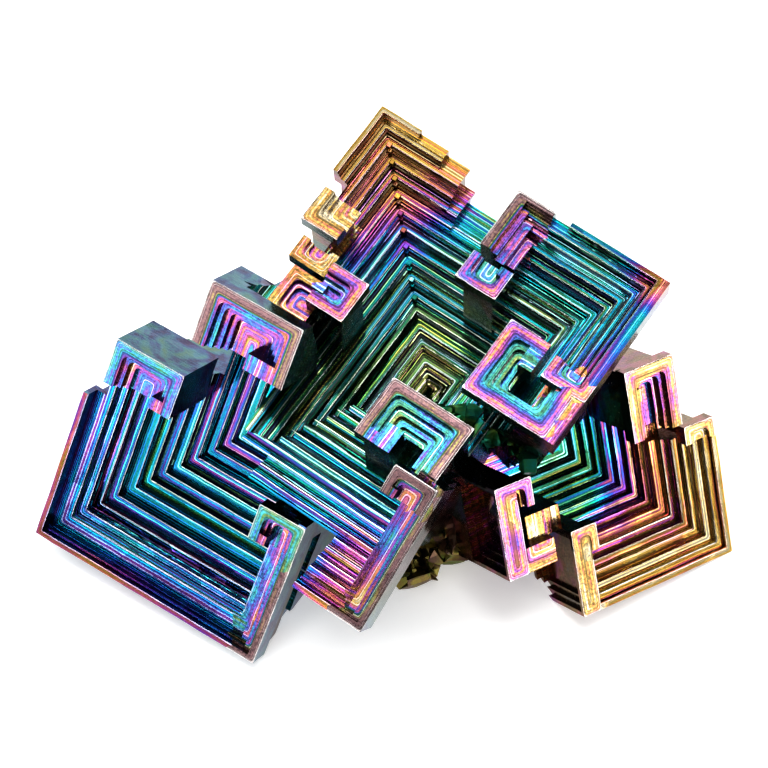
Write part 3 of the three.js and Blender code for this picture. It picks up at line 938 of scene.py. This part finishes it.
@dataclass(frozen=True)
class OxideFinish:
    """Bare bismuth under an oxide film, whose colour follows the film's thickness, with painted shade and painted
    highlights along its lines.

    Attributes:
        name: the material's name.
        wall_shade_tone: the painted shade on the outside walls, which also dulls their colour.
        hook_tone: what the hooked blocks are dulled with.
        painted_shade_tone: the painted shade between the growth lines, in wide bands on the treads, in the hooks'
            ditches and on the walls.
        painted_highlight_tone: the painted highlight on ridges and lips.
        crust_tone: what the root's crust is darkened with.
        colours: the film's colours, from the thinnest to the thickest.
    """

    name: str = "bismuth_oxide"
    wall_shade_tone: tuple = (0.13, 0.09, 0.10, 1.0)
    hook_tone: tuple = (0.30, 0.22, 0.20, 1.0)
    painted_shade_tone: tuple = (0.010, 0.009, 0.014, 1.0)
    painted_highlight_tone: tuple = (0.90, 0.86, 0.84, 1.0)
    crust_tone: tuple = (0.035, 0.026, 0.016, 1.0)
    colours: tuple = (
        (0.00, (0.82, 0.72, 0.46)),
        (0.06, (0.68, 0.46, 0.10)),
        (0.12, (0.60, 0.36, 0.05)),
        (0.18, (0.66, 0.26, 0.05)),
        (0.24, (0.72, 0.20, 0.17)),
        (0.30, (0.58, 0.10, 0.32)),
        (0.37, (0.26, 0.05, 0.46)),
        (0.44, (0.05, 0.09, 0.56)),
        (0.50, (0.01, 0.22, 0.68)),
        (0.57, (0.00, 0.42, 0.54)),
        (0.64, (0.00, 0.31, 0.24)),
        (0.71, (0.02, 0.25, 0.09)),
        (0.79, (0.20, 0.32, 0.06)),
        (0.87, (0.34, 0.26, 0.07)),
        (0.91, (0.22, 0.13, 0.08)),
        (0.96, (0.20, 0.11, 0.09)),
        (1.00, (0.17, 0.085, 0.09)),
    )

    def nearest(self, sheet: NodeSheet) -> bpy.types.NodeSocket:
        """Gives how far in a place lies from the nearest side, turning the corners in a curve.

        Args:
            sheet: the material's nodes.

        Returns:
            The distance, in millimetres or treads.
        """
        sides = []
        for name in ("across", "along"):
            pair = sheet.add("ShaderNodeAttribute", attribute_name=name).outputs["Vector"]
            split = sheet.add("ShaderNodeSeparateXYZ", {0: pair})
            sides += [split.outputs[0], split.outputs[1]]
        found = sides[0]
        for side in sides[1:]:
            node = sheet.add("ShaderNodeMath", {0: found, 1: side, 2: 0.5}, operation="SMOOTH_MIN")
            found = node.outputs[0]
        return found

    def build(self) -> bpy.types.Material:
        """Builds the material.

        Returns:
            The material.
        """
        material = bpy.data.materials.new(self.name)
        material.use_nodes = True
        tree = material.node_tree
        tree.nodes.clear()
        sheet = NodeSheet(tree)
        place = sheet.add("ShaderNodeTexCoord").outputs["Object"]
        spot = sheet.add("ShaderNodeVectorMath", {0: place, "Scale": 1000.0}, operation="SCALE").outputs[0]
        riser, wall = sheet.attribute("riser"), sheet.attribute("wall")
        rough, hooked = sheet.attribute("rough"), sheet.attribute("hooked")

        cloud = sheet.add("ShaderNodeTexNoise", {"Vector": spot, "Scale": 0.55, "Detail": 4.0}).outputs["Fac"]
        speck = sheet.add("ShaderNodeTexNoise", {"Vector": spot, "Scale": 4.5, "Detail": 4.0}).outputs["Fac"]
        nearest = self.nearest(sheet)
        along = sheet.math("ADD", nearest, sheet.attribute("height"))
        inside = sheet.add("ShaderNodeMapRange", {0: nearest, 1: 0.65, 2: 1.05}).outputs[0]
        rim, inner = sheet.attribute("film"), sheet.attribute("inner")
        film = sheet.math("ADD", rim, sheet.math("MULTIPLY", sheet.math("SUBTRACT", inner, rim), inside))
        blot = sheet.add(
            "ShaderNodeTexNoise", {"Vector": spot, "Scale": 0.32, "Detail": 5.0, "Distortion": 1.6}
        ).outputs["Fac"]
        marble = sheet.math("MULTIPLY", wall, sheet.math("MULTIPLY", sheet.math("SUBTRACT", blot, 0.45), 0.6))
        film = sheet.math("ADD", film, marble)
        bent = sheet.math("ADD", along, sheet.math("MULTIPLY", cloud, 0.14))
        fine = sheet.add("ShaderNodeTexNoise", {"W": bent, "Scale": 5.5, "Detail": 2.0}, noise_dimensions="1D")
        wide = sheet.add("ShaderNodeTexNoise", {"W": bent, "Scale": 2.1, "Detail": 1.0}, noise_dimensions="1D")
        line = sheet.add(
            "ShaderNodeMapRange", {0: fine.outputs["Fac"], 1: 0.50, 2: 0.58}, interpolation_type="SMOOTHSTEP"
        ).outputs[0]
        # The ridges between the lines, which get a painted highlight below.
        ridge = sheet.add(
            "ShaderNodeMapRange", {0: fine.outputs["Fac"], 1: 0.62, 2: 0.69}, interpolation_type="SMOOTHSTEP"
        ).outputs[0]

        swirl = sheet.math("ADD", 0.16, sheet.math("MULTIPLY", hooked, 0.34))
        shade = sheet.math("MULTIPLY", sheet.math("SUBTRACT", cloud, 0.5), swirl)
        sway = sheet.math("ADD", 0.55, sheet.math("MULTIPLY", hooked, 0.10))
        sway = sheet.math("MULTIPLY", sway, sheet.math("SUBTRACT", 1.0, sheet.math("MAXIMUM", wall, rough)))
        band = sheet.math("MULTIPLY", sheet.math("SUBTRACT", wide.outputs["Fac"], 0.5), sway)
        dot = sheet.math("MULTIPLY", sheet.math("SUBTRACT", speck, 0.5), 0.10)
        total = sheet.math("ADD", sheet.math("ADD", film, shade), sheet.math("ADD", band, dot), clamp=True)
        colour = sheet.ramp(total, self.colours)
        # Painted shade: the outside walls are mixed towards a dark tone.
        colour = sheet.mix(sheet.math("MULTIPLY", wall, 0.58), colour, self.wall_shade_tone)
        colour = sheet.mix(sheet.math("MULTIPLY", hooked, 0.20), colour, self.hook_tone)

        # Painted shade: dark lines between the growth lines, strongest on the risers, weaker on the hooks and on gold
        # film.
        deep = sheet.math("ADD", 0.74, sheet.math("MULTIPLY", riser, 0.24))
        deep = sheet.math("MULTIPLY", deep, sheet.math("SUBTRACT", 1.0, sheet.math("MULTIPLY", hooked, 0.45)))
        golden = sheet.add("ShaderNodeMapRange", {0: film, 1: 0.06, 2: 0.24, 3: 0.85, 4: 1.0}).outputs[0]
        deep = sheet.math("MULTIPLY", deep, golden)
        dark = sheet.math("MULTIPLY", deep, sheet.math("SUBTRACT", 1.0, line))
        # Painted shade in wide bands along the treads, off the hooks.
        shade_band = sheet.add("ShaderNodeMapRange", {0: wide.outputs["Fac"], 1: 0.36, 2: 0.52, 3: 0.75, 4: 0.0}).outputs[0]
        dark = sheet.math("MAXIMUM", dark, sheet.math("MULTIPLY", shade_band, sheet.math("SUBTRACT", 1.0, hooked)))
        flat = sheet.math("SUBTRACT", 1.0, sheet.math("MAXIMUM", sheet.math("MULTIPLY", wall, 0.85), rough))
        dark = sheet.math("MULTIPLY", dark, flat)
        # Painted shade on the walls, stronger or weaker with the noise.
        veil = sheet.math("ADD", sheet.math("MULTIPLY", blot, 0.7), sheet.math("MULTIPLY", speck, 0.3))
        wall_shade = sheet.add("ShaderNodeMapRange", {0: veil, 1: 0.40, 2: 0.62, 3: 0.78, 4: 0.25}).outputs[0]
        plain = sheet.math("SUBTRACT", 1.0, sheet.math("MAXIMUM", wall, rough))
        dark = sheet.math("MAXIMUM", dark, sheet.math("MULTIPLY", wall, wall_shade))
        # Painted shade in a ditch inside the hooks' rims, and in patches on the hooks.
        ditch_shade = sheet.math("ABSOLUTE", sheet.math("SUBTRACT", nearest, 0.88))
        ditch_shade = sheet.add("ShaderNodeMapRange", {0: ditch_shade, 1: 0.06, 2: 0.15, 3: 0.85, 4: 0.0}).outputs[0]
        dark = sheet.math("MAXIMUM", dark, sheet.math("MULTIPLY", hooked, ditch_shade))
        patchy = sheet.add("ShaderNodeMapRange", {0: speck, 1: 0.40, 2: 0.62, 3: 0.72, 4: 0.34}).outputs[0]
        dark = sheet.math("MAXIMUM", dark, sheet.math("MULTIPLY", hooked, patchy))
        colour = sheet.mix(dark, colour, self.painted_shade_tone)
        # Painted highlights: pale lines along the lips and on some ridges. The lips are also rounded in the bump.
        lip = sheet.math("ABSOLUTE", sheet.math("SUBTRACT", along, sheet.attribute("lip")))
        edge = sheet.add("ShaderNodeMapRange", {0: lip, 1: 0.04, 2: 0.12, 3: 1.0, 4: 0.0}).outputs[0]
        rounded = sheet.add(
            "ShaderNodeMapRange", {0: lip, 1: 0.0, 2: 0.11, 3: 1.0, 4: 0.0}, interpolation_type="SMOOTHSTEP"
        ).outputs[0]
        edge = sheet.math("MULTIPLY", edge, sheet.math("MULTIPLY", cloud, 1.3), clamp=True)
        pale = sheet.math("ADD", sheet.math("MULTIPLY", edge, 0.7), sheet.math("MULTIPLY", ridge, 0.24), clamp=True)
        pale = sheet.math("MULTIPLY", pale, plain)
        colour = sheet.mix(pale, colour, self.painted_highlight_tone)
        colour = sheet.mix(sheet.math("MULTIPLY", rough, 0.45), colour, self.crust_tone)

        dull = sheet.add("ShaderNodeMapRange", {0: speck, 1: 0.3, 2: 0.8, 3: 0.09, 4: 0.24}).outputs[0]
        dull = sheet.math("ADD", dull, sheet.math("MULTIPLY", rough, 0.25))
        dull = sheet.math("ADD", dull, sheet.math("MULTIPLY", hooked, 0.06))
        smooth = sheet.math("MULTIPLY", 0.6, flat)
        relief = sheet.math("ADD", sheet.math("MULTIPLY", line, smooth), sheet.math("MULTIPLY", speck, 0.2))
        relief = sheet.math("SUBTRACT", relief, sheet.math("MULTIPLY", rounded, 1.4))
        bump = sheet.add("ShaderNodeBump", {"Strength": 0.5, "Distance": 0.00005, "Height": relief})
        metal = sheet.add(
            "ShaderNodeBsdfPrincipled",
            {
                "Base Color": colour,
                "Metallic": 1.0,
                "Roughness": dull,
                "Normal": bump.outputs["Normal"],
            },
        )
        sheet.add("ShaderNodeOutputMaterial", {"Surface": metal.outputs["BSDF"]})
        return material


@dataclass
class Studio:
    """A pale floor, softboxes around the crystal, and the camera at the photograph's angle.

    Attributes:
        floor_half: half the floor's width, in metres.
        lens: the camera's focal length, in millimetres.
        lift: how far the camera looks down, in degrees.
        distance: how far off it is, in millimetres.
        aim: the height it looks at, in millimetres.
    """

    floor_half: float = 1.2
    lens: float = 120.0
    lift: float = 55.0
    distance: float = 222.6
    aim: float = 11.0

    def floor(self) -> bpy.types.Object:
        """Builds the floor.

        Returns:
            The floor.
        """
        bpy.ops.object.select_all(action="DESELECT")
        bpy.ops.mesh.primitive_plane_add(size=2 * self.floor_half, location=(0, 0, 0))
        made = bpy.context.active_object
        made.name = "floor"
        material = bpy.data.materials.new("pale_floor")
        material.use_nodes = True
        surface = material.node_tree.nodes["Principled BSDF"]
        surface.inputs["Base Color"].default_value = (0.95, 0.95, 0.95, 1.0)
        surface.inputs["Roughness"].default_value = 0.7
        surface.inputs["Emission Color"].default_value = (1.0, 1.0, 1.0, 1.0)
        surface.inputs["Emission Strength"].default_value = 0.3
        made.data.materials.append(material)
        return made

    def softbox(self, name: str, at: tuple[float, float, float], size: tuple[float, float], watts: float) -> None:
        """Adds a softbox that faces the crystal.

        Args:
            name: its name.
            at: where it is, in metres.
            size: its width and height, in metres.
            watts: its power.
        """
        light = bpy.data.lights.new(name, "AREA")
        light.shape = "RECTANGLE"
        light.size, light.size_y = size
        light.energy = watts
        made = bpy.data.objects.new(name, light)
        bpy.context.scene.collection.objects.link(made)
        made.location = at
        towards = Vector((0.0, 0.0, 0.012)) - Vector(at)
        made.rotation_euler = towards.to_track_quat("-Z", "Y").to_euler()

    def light(self) -> None:
        """Adds the softboxes and the dim surround."""
        for turn in range(7):
            self.softbox(f"overhead_{turn}", (-0.56 + 0.18 * turn, 0.10, 0.45), (0.09, 0.90), 0.80)
        self.softbox("left_front", (-0.34, -0.30, 0.09), (0.26, 0.12), 0.55)
        self.softbox("right_front", (0.38, -0.22, 0.08), (0.24, 0.12), 0.95)
        self.softbox("front_high", (-0.24, -0.22, 0.30), (0.10, 0.10), 0.14)
        self.softbox("behind", (0.10, 0.45, 0.12), (0.50, 0.16), 0.55)
        world = bpy.data.worlds.new("surround")
        bpy.context.scene.world = world
        world.use_nodes = True
        ground = world.node_tree.nodes["Background"]
        ground.inputs[0].default_value = (1.0, 0.98, 0.95, 1.0)
        ground.inputs[1].default_value = 0.2

    def camera(self) -> bpy.types.Object:
        """Adds the camera.

        Returns:
            The camera.
        """
        made = bpy.data.objects.new("camera", bpy.data.cameras.new("camera"))
        bpy.context.scene.collection.objects.link(made)
        made.data.lens = self.lens
        made.data.sensor_width = 36.0
        made.data.clip_start = 0.01
        angle = math.radians(self.lift)
        made.rotation_euler = (math.pi / 2 - angle, 0.0, 0.0)
        place = Vector((0, -self.distance * math.cos(angle), self.distance * math.sin(angle) + self.aim))
        made.location = (place + CENTRE) * MM
        bpy.context.scene.camera = made
        return made

    def build(self) -> None:
        """Builds the studio."""
        self.camera()
        self.floor()
        self.light()
        settings = bpy.context.scene.view_settings
        settings.view_transform = "Standard"
        settings.look = "Medium High Contrast"
        log.info("studio: floor, softboxes and camera")


def main() -> None:
    """Builds the studio and the crystal, and dresses the crystal."""
    Studio().build()
    body = CrystalBody().build()
    beads = CornerBeads().build()
    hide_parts("bismuth_crystal")
    finish = OxideFinish().build()
    for piece in (body, beads):
        piece.data.materials.clear()
        piece.data.materials.append(finish)
        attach(piece, "root")
        log.info("%s dressed", piece.name)


if __name__ == "__main__":
    main()
